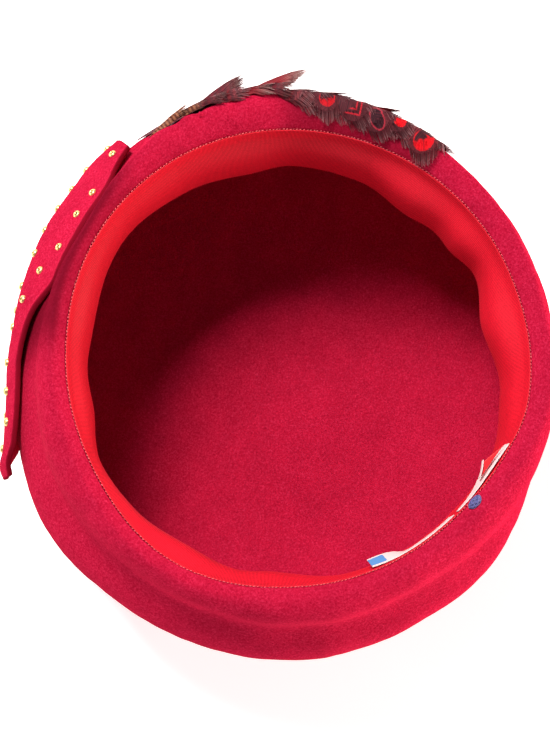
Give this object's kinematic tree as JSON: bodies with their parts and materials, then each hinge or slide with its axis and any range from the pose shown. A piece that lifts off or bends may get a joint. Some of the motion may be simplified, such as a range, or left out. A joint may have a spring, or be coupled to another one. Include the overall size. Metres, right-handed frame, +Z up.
{
  "type": "church hat",
  "caption": "Wool-felt dress hat with a flat crown, pinched groove and rolled brim, a grosgrain sweatband, a studded felt wing and a feather trim; it lies on its crown.",
  "frame": {"origin": "middle of the flat crown, on the surface that the hat lies on", "axes": "+Z up out of the head opening, square to the flat crown; +X to the right and +Y to the top of the view from above, with the wearer's front at 127 degrees anticlockwise from +X and the back at 307 degrees"},
  "size_m": [0.2319, 0.2514, 0.1139],
  "materials": {
    "wool_felt": "fuzzy red wool felt, matte",
    "grosgrain_ribbon": "red grosgrain, ribbed across, soft sheen",
    "dyed_feather": "barred brown pheasant feathers, some dyed red",
    "gold_stud": "bright gold-coloured plating",
    "label_tape": "white woven label tape, blank",
    "sewing_thread": "blue polyester sewing thread"
  },
  "bodies": {
    "root": {"felt_body": "wool_felt", "sweatband": "grosgrain_ribbon", "felt_wing": "wool_felt", "feather_trim": "dyed_feather", "feather_tip_1": "dyed_feather", "feather_tip_2": "dyed_feather", "label_long": "label_tape", "label_folded": "label_tape", "thread_knot": "sewing_thread", "stud_01": "gold_stud", "stud_02": "gold_stud", "stud_03": "gold_stud", "stud_04": "gold_stud", "stud_05": "gold_stud", "stud_06": "gold_stud", "stud_07": "gold_stud", "stud_08": "gold_stud", "stud_09": "gold_stud", "stud_10": "gold_stud", "stud_11": "gold_stud", "stud_12": "gold_stud", "stud_13": "gold_stud", "stud_14": "gold_stud", "stud_15": "gold_stud", "stud_16": "gold_stud", "stud_17": "gold_stud", "stud_18": "gold_stud", "stud_19": "gold_stud", "stud_20": "gold_stud", "stud_21": "gold_stud", "stud_22": "gold_stud", "stud_23": "gold_stud", "stud_24": "gold_stud", "stud_25": "gold_stud", "stud_26": "gold_stud", "stud_27": "gold_stud", "stud_28": "gold_stud", "stud_29": "gold_stud", "stud_30": "gold_stud", "stud_31": "gold_stud", "stud_32": "gold_stud", "stud_33": "gold_stud", "stud_34": "gold_stud", "stud_35": "gold_stud", "stud_36": "gold_stud", "stud_37": "gold_stud", "stud_38": "gold_stud", "stud_39": "gold_stud", "stud_40": "gold_stud", "stud_41": "gold_stud", "stud_42": "gold_stud"}
  },
  "joints": []
}
